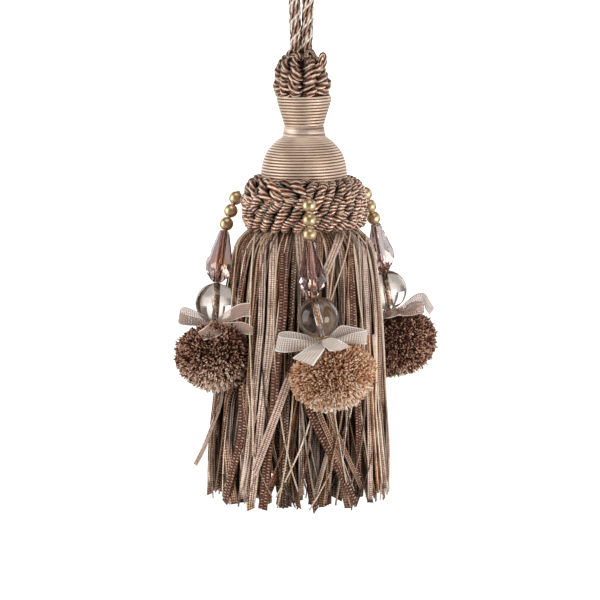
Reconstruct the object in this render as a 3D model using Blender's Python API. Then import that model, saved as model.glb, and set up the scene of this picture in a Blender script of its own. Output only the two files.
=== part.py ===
"""Key tassel: a cord loop, a topknot and a ruff of looped cord, a wound head, a ribbon skirt and three bead drops.

Metres, +Z up, front towards -Y. The origin is the inside top of the cord loop, where the tassel hangs.
Sizes are written in millimetres times MM, and the rows of the tables in plain millimetres.
Angles round the tassel are in degrees from +X towards +Y.
"""

import math
import random

import bmesh
import bpy
from mathutils import Matrix, Vector

MM = 0.001
TURN = 2 * math.pi

for old in list(bpy.data.objects):
    bpy.data.objects.remove(old)

# Driving dimensions ---------------------------------------------------------------------------------

GAP = 0.3 * MM  # between neighbouring pieces
WELD = 0.01 * MM

# Heights on the tassel's axis, from the top down.
KNOT_TOP = -33.6 * MM
HEAD_TOP = -46.7 * MM
CUP_BOTTOM = -55.6 * MM
DOME_TOP = -58.8 * MM
DOME_BOTTOM = -74.2 * MM
HEADER_TOP = -74.6 * MM
HEADER_BOTTOM = -85.3 * MM
STRAND_TIP = -163.6 * MM

# Hanging cord: three plies twisted together, round a loop.
CORD_RADIUS = 1.67 * MM
CORD_PITCH = 5.2 * MM
CORD_STEP = 0.9 * MM
CORD_MIDDLE_X = -0.8 * MM
PLIES = 3
PLY_OUTLINE = (1.0, 0.84, 0.84)  # one ply's crown and its two shoulders, as shares of the cord's radius

# Looped cord of the topknot and the ruff.
TOPKNOT_LOOPS = 10  # in each row
RUFF_LOOPS = 28
LOOP_RIM = 0.35 * MM
LOOP_RISE = 0.85 * MM
LOOP_LEAN = 0.75
TOPKNOT_SEAM = -90.0  # where each one's ends meet, at the front
RUFF_SEAM = -88.0

# Wound head, and its neck under the silk band.
HEAD_SEGMENTS = 24
NECK_RADIUS = 5.2 * MM
BAND_RADIUS = 6.15 * MM

# Skirt: rings of ribbon strands under one header.
HEADER_RADIUS = 15.1 * MM
STRANDS = 34  # in each ring
RINGS = 3
ROOT_STEP = 2.7 * MM
RING_STEP = 2.9 * MM
RING_SQUEEZE = 0.13  # the most of its radius that a ring stands inside the one before, where a drop presses
STRAND_THICK = 0.9 * MM
STRAND_WIDE = (2.2 * MM, 2.9 * MM)
STRAND_OF_PITCH = 0.74  # the most of its place in the ring that a strand takes
TIP_SPREAD = 2.4 * MM
SKIRT_LEAN = -1.2 * MM  # how far the skirt's foot hangs to the left

# Bead drops.
GOLD_RADIUS = 1.95 * MM
GOLD_GRID = (5, 10)  # rows and segments
CRYSTAL_RADIUS = 4.1 * MM
CRYSTAL_LENGTH = 15.5 * MM
CRYSTAL_FACETS = 8
GLASS_RADIUS = 6.0 * MM
GLASS_GRID = (8, 16)
BORE_RADIUS = 0.8 * MM
THREAD_RADIUS = 0.38 * MM
POMPOM_WIDE = 12.2 * MM
POMPOM_TALL = 9.5 * MM
POMPOM_CORE = 0.74  # the bound core's share of the pompom
POMPOM_POLE = 24.0  # angle from its axis to its first locks
TOP_LOCKS = 0.88  # how long the locks round the bow's knot are, against the others
LOCK_COLUMNS = 12
LOCK_ROWS = 4
RIBBON_THICK = 0.9 * MM
KNOT_RADIUS = 1.2 * MM

# Tables ---------------------------------------------------------------------------------------------

# One leg of the cord's loop: distance from the loop's middle line, height above the topknot.
CORD_LEG = (
    (1.86, 0.3), (1.95, 4.0), (2.05, 8.0), (2.1, 12.0), (2.2, 15.5), (3.0, 18.8),
    (4.9, 22.0), (6.5, 25.4), (6.7, 29.0), (4.9, 32.9), (0.0, 35.27),
)

# Topknot under its loops: radius, height below its top.
TOPKNOT_OUTLINE = (
    (0.0, 0.0), (4.0, 0.0), (6.3, -1.5), (7.2, -4.0), (7.4, -6.7),
    (7.2, -9.2), (6.6, -11.4), (5.9, -12.7), (0.0, -12.7),
)

# Wound head: radius, height.
CUP_OUTLINE = ((7.5, -46.7), (7.85, -47.5), (7.75, -48.6), (6.8, -52.0), (5.75, -55.6))
DOME_OUTLINE = (
    (6.1, -58.8), (7.4, -59.7), (8.6, -60.7), (10.2, -62.6), (11.3, -64.5),
    (12.0, -66.6), (12.35, -68.7), (12.45, -70.5), (12.45, -74.2),
)

# Outside of the ruff under its loops: radius, height. Each stretch between two rows is one row of loops.
RUFF_OUTLINE = (
    (12.9, -70.6), (16.3, -71.9), (17.5, -74.3), (17.75, -76.9), (17.75, -79.5), (17.6, -82.1), (17.0, -84.4),
)

# Skirt's outside: height, radius.
SKIRT_OUTLINE = (
    (-85.3, 13.8), (-86.5, 16.6), (-88.3, 19.4), (-92.0, 20.8), (-96.0, 21.7), (-103.5, 22.9),
    (-111.0, 23.7), (-122.0, 24.4), (-134.0, 25.1), (-148.0, 26.2), (-158.0, 26.5), (-166.0, 26.6),
)

# Heights where a strand bends, in each ring, and under a drop.
RING_LEVELS = ((-86.6, -88.6, -94.0, -104.0, -124.0), (-87.4, -97.0, -124.0), (-88.0, -124.0))
DROP_LEVELS = (
    (-86.6, -90.0, -97.0, -104.0, -109.2, -114.5, -120.0, -126.1, -133.0, -140.0),
    (-88.0, -98.0, -107.0, -114.5, -120.5, -126.1, -134.0),
    (-88.0, -98.0, -107.0, -114.5, -120.5, -126.1, -134.0),
)

# Room that a drop takes in the skirt: height, half width.
DROP_ROOM = (
    (-84.0, 0.0), (-86.6, 2.9), (-90.0, 3.6), (-97.0, 5.2), (-104.0, 6.3), (-109.2, 7.5), (-114.5, 7.7),
    (-120.0, 12.4), (-126.1, 13.9), (-133.0, 12.9), (-140.0, 5.4), (-144.0, 0.0),
)

# Each drop's string, from the ruff down to its pompom: radius, angle, height.
DROP_STRINGS = {
    "front": (
        (20.1, -86.0, -75.0), (21.0, -86.0, -77.4), (22.9, -86.0, -85.7),
        (25.2, -86.0, -95.5), (27.3, -81.8, -109.2), (31.4, -72.0, -130.5),
    ),
    "right": (
        (19.9, 28.5, -74.8), (20.9, 29.0, -77.3), (24.3, 31.6, -84.2),
        (27.8, 34.5, -92.8), (31.6, 38.7, -105.5), (39.0, 43.0, -128.0),
    ),
    "left": (
        (20.2, 162.0, -75.7), (21.1, 164.2, -78.1), (23.1, 173.5, -85.3),
        (25.1, 178.6, -94.7), (26.3, 188.5, -107.6), (29.4, 206.5, -128.5),
    ),
}

# Each piece's place on its string: distance of its middle from the top, half its length.
ON_STRING = {
    "gold_1": (2.35, 1.95), "gold_2": (6.55, 1.95), "gold_3": (10.75, 1.95),
    "crystal": (20.75, 7.75), "glass": (34.85, 6.0), "knot": (42.9, 1.2), "pompom": (52.0, 4.0),
}

# Directions of each bow's two loops and two tails, as angles.
BOW_ANGLES = {
    "front": (6.0, 186.0, -140.0, -28.0),
    "right": (-8.0, 128.0, 60.0, 15.0),
    "left": (108.0, 285.0, 150.0, 235.0),
}

# Middle of a bow loop's ribbon, from the knot and back: out, across, up, width.
BOW_LOOP = (
    (0.3, 0.6, 0.0, 1.6), (3.5, 1.1, 0.2, 2.2), (7.5, 1.8, 1.3, 4.2), (11.5, 1.7, 2.1, 5.4),
    (13.2, 0.0, 2.1, 5.4),
    (11.5, -1.7, 2.1, 5.4), (7.5, -1.8, 1.3, 4.2), (3.5, -1.1, 0.2, 2.2), (0.3, -0.6, 0.0, 1.6),
)
# Middle of a tail: out, across, up, width.
BOW_TAIL = ((0.3, 0.0, 0.0, 1.6), (4.0, -0.6, 0.3, 2.2), (8.5, -1.6, 1.0, 4.0), (13.0, -2.2, -1.2, 5.4))


# Shared helpers -------------------------------------------------------------------------------------

def srgb(red, green, blue):
    """A colour given as 0 to 255 screen values, as the linear values that a material takes."""
    return tuple((c / 255) ** 2.2 for c in (red, green, blue)) + (1.0,)


def material(name, colour, roughness, metallic=0.0):
    made = bpy.data.materials.new(name)
    made.use_nodes = True
    shader = made.node_tree.nodes["Principled BSDF"]
    shader.inputs["Base Color"].default_value = colour
    shader.inputs["Roughness"].default_value = roughness
    shader.inputs["Metallic"].default_value = metallic
    return made


def add_node(name, bm, finish, smooth=False):
    """Closes the mesh's doubles, turns its faces outwards and makes it an object."""
    bmesh.ops.remove_doubles(bm, verts=bm.verts, dist=WELD)
    bmesh.ops.recalc_face_normals(bm, faces=bm.faces)
    mesh = bpy.data.meshes.new(name)
    bm.to_mesh(mesh)
    bm.free()
    if smooth:
        mesh.shade_smooth()
    mesh.materials.append(finish)
    made = bpy.data.objects.new(name, mesh)
    bpy.context.collection.objects.link(made)
    return made


def turned(profile, steps, closed=False):
    """A bmesh turned about Z from (radius, height) points in metres; a closed profile makes a ring."""
    bm = bmesh.new()
    points = [bm.verts.new((radius, 0, height)) for radius, height in profile]
    edges = [bm.edges.new(pair) for pair in zip(points, points[1:])]
    if closed:
        edges.append(bm.edges.new((points[-1], points[0])))
    bmesh.ops.spin(
        bm, geom=points + edges, cent=(0, 0, 0), axis=(0, 0, 1), angle=TURN, steps=steps, use_merge=True
    )
    bmesh.ops.remove_doubles(bm, verts=bm.verts, dist=WELD)
    bmesh.ops.recalc_face_normals(bm, faces=bm.faces)
    return bm


def along(table, height):
    """The value at a height, from rows of height and value in mm that go downwards, as metres."""
    height /= MM
    if height >= table[0][0]:
        return table[0][1] * MM
    for (top, upper), (bottom, lower) in zip(table, table[1:]):
        if height >= bottom:
            return (upper + (lower - upper) * (top - height) / (top - bottom)) * MM
    return table[-1][1] * MM


def polar(radius, degrees, height):
    angle = math.radians(degrees)
    return Vector((radius * math.cos(angle), radius * math.sin(angle), height))


def smooth_line(points, step):
    """Points about a step apart on a smooth curve through the given ones."""
    pieces = 12  # straight bits between two given points, before the line is evened out
    ends = [points[0] * 2 - points[1], *points, points[-1] * 2 - points[-2]]
    fine = []
    for before, start, end, after in zip(ends, ends[1:], ends[2:], ends[3:]):
        for t in (k / pieces for k in range(pieces)):
            second, third = 2 * before - 5 * start + 4 * end - after, 3 * start - before - 3 * end + after
            fine.append(start + 0.5 * t * (end - before + second * t + third * t * t))
    fine.append(points[-1])
    length = sum((b - a).length for a, b in zip(fine, fine[1:]))
    count = round(length / step)
    return [walk(fine, length * k / count) for k in range(count + 1)]


def walk(line, distance):
    """The point this far along a line of points."""
    for a, b in zip(line, line[1:]):
        length = (b - a).length
        if distance <= length:
            return a.lerp(b, distance / length)
        distance -= length
    return line[-1]


def tube_faces(bm, rings):
    """Joins rings of the same number of points into one closed tube."""
    for ring, following in zip(rings, rings[1:]):
        for n in range(len(ring)):
            m = (n + 1) % len(ring)
            bm.faces.new((ring[n], ring[m], following[m], following[n]))
    bm.faces.new(rings[0][::-1])
    bm.faces.new(rings[-1])


def raise_loops(bm, faces, seam):
    """Each face becomes one raised loop of cord, inset, pushed out and crowned. On both sides of the seam
    the loops lean away from it going up, and they stand upright opposite to it."""
    bmesh.ops.inset_individual(bm, faces=faces, thickness=LOOP_RIM, depth=LOOP_RISE)
    for face in faces:
        middle = face.calc_center_median()
        angle = math.atan2(middle.y, middle.x)
        sideways = Vector((-math.sin(angle), math.cos(angle), 0))
        from_seam = (math.degrees(angle) - seam) % 360
        lean = LOOP_LEAN * math.cos(math.radians(from_seam / 2))
        upright = face.normal.cross(sideways).normalized()
        for corner in face.verts:
            corner.co += sideways * lean * (corner.co - middle).dot(upright)
    for crown in bmesh.ops.poke(bm, faces=faces)["verts"]:
        crown.co += crown.normal * LOOP_RISE * 0.35


# Hanging cord: three plies twisted together, up from the topknot, round and down again -------------------

def hanging_cord():
    right = [Vector((CORD_MIDDLE_X + x * MM, 0, KNOT_TOP + z * MM)) for x, z in CORD_LEG]
    left = [Vector((CORD_MIDDLE_X - x * MM, 0, KNOT_TOP + z * MM)) for x, z in CORD_LEG[-2::-1]]
    line = smooth_line(right + left, CORD_STEP)
    sides = PLIES * len(PLY_OUTLINE)
    depth = Vector((0, 1, 0))
    bm = bmesh.new()
    rings = []
    for k, centre in enumerate(line):
        ahead = (line[min(k + 1, len(line) - 1)] - line[max(k - 1, 0)]).normalized()
        across = depth.cross(ahead).normalized()
        twist = TURN * k * CORD_STEP / CORD_PITCH
        ring = []
        for n in range(sides):
            angle = twist + TURN * n / sides
            reach = CORD_RADIUS * PLY_OUTLINE[n % len(PLY_OUTLINE)]
            ring.append(bm.verts.new(centre + (across * math.cos(angle) + depth * math.sin(angle)) * reach))
        rings.append(ring)
    tube_faces(bm, rings)
    add_node("hanging_cord", bm, material("twisted_cord", srgb(178, 150, 128), 0.55))


hanging_cord()


# Topknot: a small ball of cord loops round the cord where it enters the head -----------------------------

loop_cord = material("looped_cord", srgb(150, 122, 102), 0.6)


def topknot():
    profile = [(r * MM, KNOT_TOP + z * MM) for r, z in TOPKNOT_OUTLINE]
    bm = turned(profile, TOPKNOT_LOOPS)
    top, bottom = profile[0][1] - WELD, profile[-1][1] + WELD
    side = [f for f in bm.faces if bottom < f.calc_center_median().z < top]
    raise_loops(bm, side, TOPKNOT_SEAM)
    bmesh.ops.translate(bm, verts=bm.verts, vec=(CORD_MIDDLE_X, 0, 0))
    add_node("topknot", bm, loop_cord)


topknot()


# Wound head: a mould of cup, neck and dome under its silk winding, and the band round its neck -------------

def wound_head():
    cup = [(r * MM, z * MM) for r, z in CUP_OUTLINE]
    neck = [(NECK_RADIUS, CUP_BOTTOM - GAP), (NECK_RADIUS, DOME_TOP + GAP)]
    dome = [(r * MM, z * MM) for r, z in DOME_OUTLINE]
    mould = turned([(0, HEAD_TOP)] + cup + neck + dome + [(0, DOME_BOTTOM)], HEAD_SEGMENTS)
    add_node("wound_head", mould, material("winding_silk", srgb(205, 178, 155), 0.5), smooth=True)


def neck_band():
    inner = NECK_RADIUS + GAP
    top, bottom = CUP_BOTTOM - 2 * GAP, DOME_TOP + 2 * GAP
    section = [
        (inner, top), (BAND_RADIUS - 0.35 * MM, top), (BAND_RADIUS, (top + bottom) / 2),
        (BAND_RADIUS - 0.2 * MM, bottom), (inner, bottom),
    ]
    band = turned(section, HEAD_SEGMENTS, closed=True)
    add_node("neck_band", band, material("band_silk", srgb(190, 165, 148), 0.4))


wound_head()
neck_band()


# Ruff: the deep collar of looped cord that hides the skirt's header --------------------------------------

def ruff():
    outside = [(r * MM, z * MM) for r, z in RUFF_OUTLINE]
    inner = HEADER_RADIUS + 1.5 * GAP
    roof = HEADER_TOP + GAP
    inside = [(inner, outside[-1][1] - GAP), (inner, roof), (outside[0][0], roof)]
    bm = turned(outside + inside, RUFF_LOOPS, closed=True)
    loops = [f for f in bm.faces if f.normal.z > 0.5 or f.calc_center_median().xy.length > outside[1][0]]
    raise_loops(bm, loops, RUFF_SEAM)
    add_node("ruff", bm, loop_cord)


ruff()


# Drops: where each piece of the three bead strings hangs -------------------------------------------------

strings = {
    drop: smooth_line([polar(r * MM, degrees, z * MM) for r, degrees, z in points], 0.5 * MM)
    for drop, points in DROP_STRINGS.items()
}


def station(drop, piece):
    """(top, bottom) of a piece, where its string goes in and comes out."""
    at, half = ON_STRING[piece]
    return walk(strings[drop], (at - half) * MM), walk(strings[drop], (at + half) * MM)


def hang(name, bm, finish, drop, piece, smooth=False):
    """Puts a piece made about Z on its string."""
    top, bottom = station(drop, piece)
    upright = Vector((0, 0, 1)).rotation_difference(top - bottom).to_matrix().to_4x4()
    bmesh.ops.transform(bm, matrix=Matrix.Translation((top + bottom) / 2) @ upright, verts=bm.verts)
    return add_node(f"{name}_{drop}", bm, finish, smooth)


def string_at(drop, height):
    """Where a drop's string passes this height; its top or bottom end beyond them."""
    return min(strings[drop], key=lambda point: abs(point.z - height))


# Skirt: three rings of ribbon strands, sewn by their heads into one header --------------------------------

def room_for(degrees, height, half_width):
    """The largest radius that a strand may have at this angle and height, inside the drops that press on it."""
    room = math.inf
    reach = along(DROP_ROOM, height)
    for drop in strings:
        centre = string_at(drop, height)
        out = centre.xy.length
        apart = math.radians(degrees) - math.atan2(centre.y, centre.x)
        aside = abs(out * math.sin(apart)) - half_width
        if math.cos(apart) > 0 and aside < reach:
            room = min(room, out * math.cos(apart) - math.sqrt(reach ** 2 - max(aside, 0) ** 2))
    return room


def skirt_radius(height):
    return along(SKIRT_OUTLINE, height) - STRAND_THICK / 2


def strand_path(degrees, ring, width, tip):
    """(middle, half width) down one strand."""
    pressed = any(room_for(degrees, z * MM, width / 2) < skirt_radius(z * MM) for z in DROP_LEVELS[0])
    levels = (DROP_LEVELS if pressed else RING_LEVELS)[ring]
    path = []
    for height in [z * MM for z in levels] + [tip]:
        outer = min(skirt_radius(height), room_for(degrees, height, width / 2))
        radius = outer - ring * min(RING_STEP, outer * RING_SQUEEZE)
        place = TURN * radius / STRANDS
        fallen = max(0.0, (height - SKIRT_OUTLINE[2][0] * MM) / (STRAND_TIP - SKIRT_OUTLINE[2][0] * MM))
        middle = polar(radius, degrees, height) + Vector((SKIRT_LEAN * fallen, 0, 0))
        path.append((middle, min(width, STRAND_OF_PITCH * place) / 2))
    return path


def grow_strand(bm, root, degrees, path):
    """Extrudes one strand from its root face down its path."""
    outward = polar(1, degrees, 0)
    sideways = polar(1, degrees + 90, 0)
    start = root.calc_center_median()
    corners = [
        (math.copysign(1, (v.co - start).dot(sideways)), math.copysign(1, (v.co - start).dot(outward)))
        for v in root.verts
    ]
    middles = [start] + [middle for middle, _ in path]
    for k, (middle, half) in enumerate(path, start=1):
        ahead = middles[min(k + 1, len(path))] - middles[k - 1]
        ahead -= sideways * ahead.dot(sideways)
        thick = sideways.cross(ahead).normalized() * STRAND_THICK / 2
        root = bmesh.ops.extrude_discrete_faces(bm, faces=[root])["faces"][0]
        for vert, (side, out) in zip(root.verts, corners):
            vert.co = middle + sideways * side * half + thick * out


def skirt():
    rnd = random.Random(7)
    edges = [HEADER_RADIUS - k * ROOT_STEP for k in range(RINGS + 1)]
    top, underside = [(0, HEADER_TOP), (HEADER_RADIUS, HEADER_TOP)], [(r, HEADER_BOTTOM) for r in edges]
    bm = turned(top + underside + [(0, HEADER_BOTTOM)], STRANDS)
    for ring in range(RINGS):
        roots = [
            f for f in bm.faces
            if f.normal.z < -0.9 and edges[ring + 1] < f.calc_center_median().xy.length < edges[ring]
        ]
        bmesh.ops.inset_individual(bm, faces=roots, thickness=GAP, depth=0)
        for root in roots:
            middle = root.calc_center_median()
            degrees = math.degrees(math.atan2(middle.y, middle.x))
            width = rnd.uniform(*STRAND_WIDE)
            tip = STRAND_TIP + rnd.uniform(-TIP_SPREAD, TIP_SPREAD)
            grow_strand(bm, root, degrees, strand_path(degrees, ring, width, tip))
    add_node("skirt", bm, material("ribbon_fringe", srgb(140, 112, 92), 0.65))


skirt()


# Beads: bored, on their thread -----------------------------------------------------------------------------

brass = material("brass", srgb(190, 165, 110), 0.35, 1.0)
pink_crystal = material("pink_crystal", srgb(196, 160, 150), 0.05)
clear_glass = material("clear_glass", srgb(225, 215, 205), 0.05)
bead_thread = material("bead_thread", srgb(180, 140, 95), 0.6)


def bored_ball(radius, rows, segments):
    """A round bead with its thread hole."""
    start = math.asin(BORE_RADIUS / radius)
    angles = [start + (math.pi - 2 * start) * k / rows for k in range(rows + 1)]
    return turned([(radius * math.sin(a), radius * math.cos(a)) for a in angles], segments, closed=True)


def crystal_drop():
    """A cut teardrop, bored end to end: a slim neck over a wide foot."""
    half = CRYSTAL_LENGTH / 2
    outside = [
        (BORE_RADIUS + 0.5 * MM, half), (CRYSTAL_RADIUS, -0.36 * half),
        (0.62 * CRYSTAL_RADIUS, -0.8 * half), (BORE_RADIUS + 0.5 * MM, -half),
    ]
    return turned(outside + [(BORE_RADIUS, -half), (BORE_RADIUS, half)], CRYSTAL_FACETS, closed=True)


def bead_cap():
    """A shallow pierced dish under the glass bead."""
    rim, top = 2.3 * MM, -GLASS_RADIUS - 0.25 * MM
    dish = [
        (BORE_RADIUS, top), (0.6 * rim, top), (rim, top + 0.35 * MM),
        (rim, top + 0.05 * MM), (0.6 * rim, top - 0.35 * MM), (BORE_RADIUS, top - 0.35 * MM),
    ]
    return turned(dish, 8, closed=True)


def thread(drop):
    """The string itself, straight inside each piece, from the ruff to just above the bow's knot."""
    stops = [strings[drop][0]]
    for piece in ("gold_1", "gold_2", "gold_3", "crystal", "glass"):
        stops += station(drop, piece)
    knot_top = station(drop, "knot")[0]
    stops.append(knot_top + (stops[-1] - knot_top).normalized() * GAP)
    curve = bpy.data.curves.new(f"thread_{drop}", "CURVE")
    curve.dimensions = "3D"
    curve.bevel_depth = THREAD_RADIUS
    curve.bevel_resolution = 0
    curve.use_fill_caps = True
    route = curve.splines.new("POLY")
    route.points.add(len(stops) - 1)
    for point, stop in zip(route.points, stops):
        point.co = (*stop, 1)
    curve.materials.append(bead_thread)
    bpy.context.collection.objects.link(bpy.data.objects.new(f"thread_{drop}", curve))


def beads(drop):
    thread(drop)
    for piece in ("gold_1", "gold_2", "gold_3"):
        hang(piece, bored_ball(GOLD_RADIUS, *GOLD_GRID), brass, drop, piece, smooth=True)
    hang("crystal", crystal_drop(), pink_crystal, drop, "crystal")
    hang("glass", bored_ball(GLASS_RADIUS, *GLASS_GRID), clear_glass, drop, "glass", smooth=True)
    hang("cap", bead_cap(), brass, drop, "glass")


for drop in strings:
    beads(drop)


# Bows: a narrow ribbon tied round the string, with two loops and two tails ----------------------------------

def ribbon(rows, degrees):
    """A strip of ribbon on edge along (out, across, up, width) rows, turned about Z."""
    turn = Matrix.Rotation(math.radians(degrees), 4, "Z")
    middles = [turn @ Vector(row[:3]) * MM for row in rows]
    bm = bmesh.new()
    rings = []
    for k, (middle, row) in enumerate(zip(middles, rows)):
        ahead = middles[min(k + 1, len(rows) - 1)] - middles[max(k - 1, 0)]
        flat = Vector((-ahead.y, ahead.x, 0)).normalized() * RIBBON_THICK / 2
        rise = Vector((0, 0, row[3] * MM / 2))
        corners = (flat + rise, rise - flat, -flat - rise, flat - rise)
        rings.append([bm.verts.new(middle + corner) for corner in corners])
    tube_faces(bm, rings)
    bmesh.ops.recalc_face_normals(bm, faces=bm.faces)
    return bm


def bow(drop, finish):
    """The knot, with its loops and tails joined to it."""
    bm = bmesh.new()
    bmesh.ops.create_icosphere(bm, subdivisions=1, radius=KNOT_RADIUS)
    body = hang("bow", bm, finish, drop, "knot")
    for k, degrees in enumerate(BOW_ANGLES[drop]):
        strip = hang(f"strip_{k}", ribbon(BOW_LOOP if k < 2 else BOW_TAIL, degrees), finish, drop, "knot")
        strip.hide_render = True
        strip.display_type = "WIRE"
        join = body.modifiers.new(f"join_{k}", "BOOLEAN")
        join.operation = "UNION"
        join.object = strip


cream_ribbon = material("cream_ribbon", srgb(222, 208, 196), 0.6)
taupe_ribbon = material("taupe_ribbon", srgb(176, 150, 138), 0.6)
bow("front", cream_ribbon)
bow("right", taupe_ribbon)
bow("left", taupe_ribbon)


# Pompoms: cut yarn bound to a ball, its pile as tapered locks ------------------------------------------------

def pompom(drop, finish):
    """A core with one lock of pile growing from each of its side faces, lower at its top for the bow's knot."""
    rnd = random.Random(f"pile {drop}")
    edge = math.radians(POMPOM_POLE)
    angles = [edge + (math.pi - 2 * edge) * k / LOCK_ROWS for k in range(LOCK_ROWS + 1)]
    core = [
        (math.sin(a) * POMPOM_WIDE * POMPOM_CORE, math.cos(a) * POMPOM_TALL * POMPOM_CORE) for a in angles
    ]
    bm = turned([(0, core[0][1])] + core + [(0, core[-1][1])], LOCK_COLUMNS)
    for root in [f for f in bm.faces if abs(f.normal.z) < 0.97]:
        middle = root.calc_center_median()
        length = rnd.uniform(0.94, 1.0) * (TOP_LOCKS if middle.z > core[1][1] else 1.0) / POMPOM_CORE
        tip = bmesh.ops.extrude_discrete_faces(bm, faces=[root])["faces"][0]
        for vert in tip.verts:
            vert.co += middle * (length - 1)
    hang("pompom", bm, finish, drop, "pompom")


tan_yarn = material("tan_yarn", srgb(188, 150, 122), 0.9)
brown_yarn = material("brown_yarn", srgb(92, 68, 54), 0.9)
pompom("front", tan_yarn)
pompom("right", brown_yarn)
pompom("left", brown_yarn)
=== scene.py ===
"""Looks of the key tassel: twisted cords, silk windings, woven ribbons, beads, bows and cut pompoms.

Metres, +Z up, front towards -Y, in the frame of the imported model. Tables are in millimetres.
"""

import math
import random
from functools import partialmethod

import bmesh
import bpy
from mathutils import Matrix, Vector


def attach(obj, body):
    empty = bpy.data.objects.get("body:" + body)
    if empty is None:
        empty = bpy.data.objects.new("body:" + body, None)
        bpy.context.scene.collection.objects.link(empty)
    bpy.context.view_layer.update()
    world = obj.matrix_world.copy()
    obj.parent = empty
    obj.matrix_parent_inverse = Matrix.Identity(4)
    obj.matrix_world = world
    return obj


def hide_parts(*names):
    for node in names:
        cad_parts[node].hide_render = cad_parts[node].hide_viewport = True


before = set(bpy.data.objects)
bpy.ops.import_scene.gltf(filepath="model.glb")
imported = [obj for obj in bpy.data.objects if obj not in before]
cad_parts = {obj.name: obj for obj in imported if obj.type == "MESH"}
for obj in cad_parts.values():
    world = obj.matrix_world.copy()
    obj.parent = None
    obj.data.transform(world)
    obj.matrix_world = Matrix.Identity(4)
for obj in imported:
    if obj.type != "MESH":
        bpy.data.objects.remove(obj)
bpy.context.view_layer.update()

MM = 0.001
TURN = 2 * math.pi


# Camera, light and floor ----------------------------------
# A long lens a metre in front, a little above the middle of the tassel. Two soft boxes stand left and right
# of the camera, one hangs above and three dim ones light the sides and the back, over pale paper.

PICTURE_MIDDLE = Vector((-0.00118, 0, -0.1074))
CAMERA_DISTANCE = 1.0325
CAMERA_TILT = math.radians(7.5)
SOFT_BOXES = (  # name, place, width, height, power
    ("key_left", (-0.93, -0.26, 0), 0.75, 1, 7.4),
    ("key_right", (0.7, -0.61, -0.22), 0.42, 0.46, 4.4),
    ("top", (0.1, -0.35, 0.8), 0.6, 0.5, 2.4),
    ("back_left", (-0.6, 0.85, 0.2), 0.5, 0.7, 2.4),
    ("side_right", (0.95, -0.1, 0), 0.4, 0.8, 1.6),
    ("back_right", (0.75, 0.7, 0.2), 0.5, 0.7, 2.4),
)
FLOOR_HEIGHT = -0.45
BACKDROP_PLACE = (0, 3.4, 1.15)


def add_object(name, data):
    made = bpy.data.objects.new(name, data)
    bpy.context.scene.collection.objects.link(made)
    return made


to_camera = Vector((0, -math.cos(CAMERA_TILT), math.sin(CAMERA_TILT)))
camera = add_object("camera", bpy.data.cameras.new("camera"))
camera.data.lens = 210
camera.data.clip_end = 100
camera.location = PICTURE_MIDDLE + CAMERA_DISTANCE * to_camera
camera.rotation_euler = (math.pi / 2 - CAMERA_TILT, 0, 0)
bpy.context.scene.camera = camera
bpy.context.scene.view_settings.view_transform = "Standard"

for name, place, width, height, power in SOFT_BOXES:
    light = bpy.data.lights.new(name, "AREA")
    light.shape = "RECTANGLE"
    light.size, light.size_y, light.energy = width, height, power
    lamp = add_object(name, light)
    lamp.location = place
    lamp.rotation_euler = (Vector(place) - PICTURE_MIDDLE).to_track_quat("Z", "Y").to_euler()

world = bpy.data.worlds.new("studio")
bpy.context.scene.world = world
world.use_nodes = True
room_light = world.node_tree.nodes["Background"].inputs
room_light["Color"].default_value = (0.9, 0.9, 0.9, 1)
room_light["Strength"].default_value = 0.2


def srgb(colour, level=1):
    """A screen colour of six hex digits as linear values, made darker by a level."""
    return [level * (int(colour[k:k + 2], 16) / 255) ** 2.2 for k in (0, 2, 4)] + [1]


class Field:
    """A number or a colour that varies over a surface: a node's output, worked with like a number."""

    def __init__(self, socket):
        self.socket, self.tree = socket, socket.id_data

    def calc(self, operation, *others):
        return wire(self.tree, "Math", self, *others, operation=operation)

    __add__ = partialmethod(calc, "ADD")
    __sub__ = partialmethod(calc, "SUBTRACT")
    __mul__ = partialmethod(calc, "MULTIPLY")
    __truediv__ = partialmethod(calc, "DIVIDE")
    __abs__ = partialmethod(calc, "ABSOLUTE")
    __gt__ = partialmethod(calc, "GREATER_THAN")

    def wave(self):
        """0 to 1 and back once for each whole step."""
        return (self * TURN).calc("SINE") * 0.5 + 0.5

    def into(self, name):
        """Links it to an input of the material's shader."""
        self.tree.links.new(self.socket, self.tree.nodes["Principled BSDF"].inputs[name])

    def shaded(self, level):
        """This colour times a number."""
        three = wire(self.tree, "CombineXYZ", level, level, level)
        return wire(self.tree, "VectorMath", self, three, operation="MULTIPLY")

    def ramp(self, *stops):
        """The colour on a ramp through (place, colour) or (place, colour, level) stops."""
        node = self.tree.nodes.new("ShaderNodeValToRGB")
        points = node.color_ramp.elements
        while len(points) < len(stops):
            points.new(0.5)
        for point, (place, *colour) in zip(points, stops):
            point.position, point.color = place, srgb(*colour)
        self.tree.links.new(self.socket, node.inputs[0])
        return Field(node.outputs[0])


def wire(tree, kind, *inputs, output=0, **settings):
    """One node, its settings and inputs in order: a value is set, a field is linked."""
    node = tree.nodes.new("ShaderNode" + kind)
    for key, value in settings.items():
        setattr(node, key, value)
    for socket, value in zip(node.inputs, inputs):
        if isinstance(value, Field):
            tree.links.new(value.socket, socket)
        elif value is not None:
            socket.default_value = value
    return Field(node.outputs[output])


def add_shader(name, roughness, metallic=0, **others):
    """A new material and its node tree. A shader input's name is written with _ for a space."""
    made = bpy.data.materials.new(name)
    made.use_nodes = True
    shader = made.node_tree.nodes["Principled BSDF"]
    for key, value in {"Roughness": roughness, "Metallic": metallic, **others}.items():
        shader.inputs[key.replace("_", " ")].default_value = value
    return made, made.node_tree


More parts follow.
